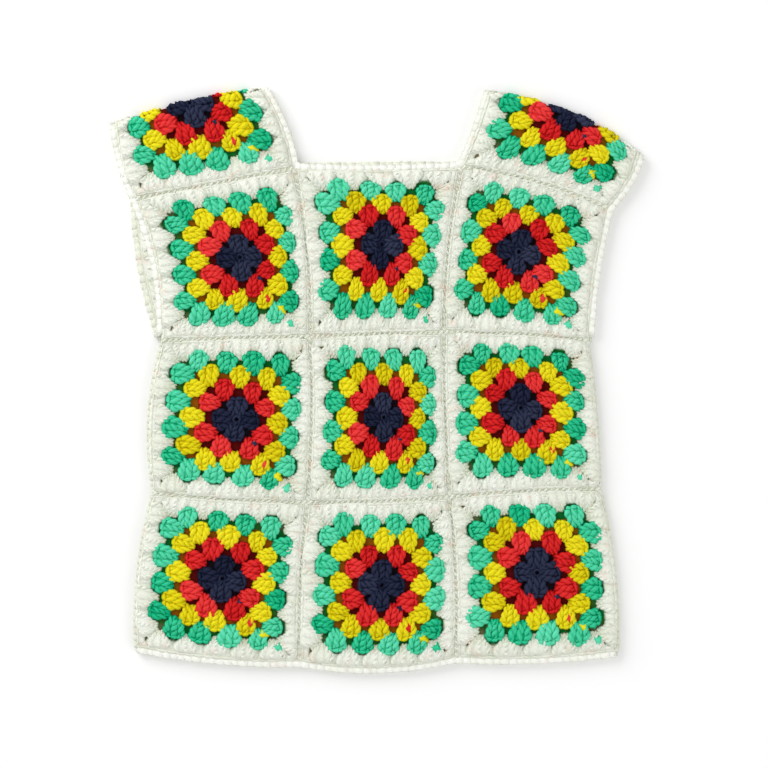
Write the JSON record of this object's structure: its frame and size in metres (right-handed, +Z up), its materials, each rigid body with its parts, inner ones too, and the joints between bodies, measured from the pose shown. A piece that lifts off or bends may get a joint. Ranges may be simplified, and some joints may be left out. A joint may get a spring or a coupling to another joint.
{
  "type": "crochet vest",
  "caption": "Child's sleeveless crochet vest of joined granny squares with folded shoulders, a square neck, open armholes and an edged hem, laid flat on its back.",
  "frame": {"origin": "centre of the laid vest, on the surface that it lies on", "axes": "+Z up off the surface, +Y from the hem to the neck, +X to the right as the vest is seen from above"},
  "size_m": [0.3972, 0.4359, 0.0101],
  "materials": {
    "granny_square_yarns": "crocheted in five rounds: navy, red, yellow, green and white",
    "white_yarn": "soft off-white yarn, single crochet",
    "navy_yarn": "soft navy yarn, first round",
    "red_yarn": "soft red yarn, second round",
    "yellow_yarn": "soft yellow yarn, third round",
    "green_yarn": "soft green yarn, fourth round"
  },
  "bodies": {
    "root": {"front_r1c1": "granny_square_yarns", "front_r1c2": "granny_square_yarns", "front_r1c3": "granny_square_yarns", "front_r2c1": "granny_square_yarns", "front_r2c2": "granny_square_yarns", "front_r2c3": "granny_square_yarns", "front_r3c1": "granny_square_yarns", "front_r3c2": "granny_square_yarns", "front_r3c3": "granny_square_yarns", "back_r1c1": "granny_square_yarns", "back_r1c2": "granny_square_yarns", "back_r1c3": "granny_square_yarns", "back_r2c1": "granny_square_yarns", "back_r2c2": "granny_square_yarns", "back_r2c3": "granny_square_yarns", "back_r3c1": "granny_square_yarns", "back_r3c2": "granny_square_yarns", "back_r3c3": "granny_square_yarns", "shoulder_left": "granny_square_yarns", "shoulder_right": "granny_square_yarns", "neck_edging": "white_yarn", "armhole_edging_left": "white_yarn", "armhole_edging_right": "white_yarn", "hem_edging": "white_yarn"}
  },
  "joints": []
}
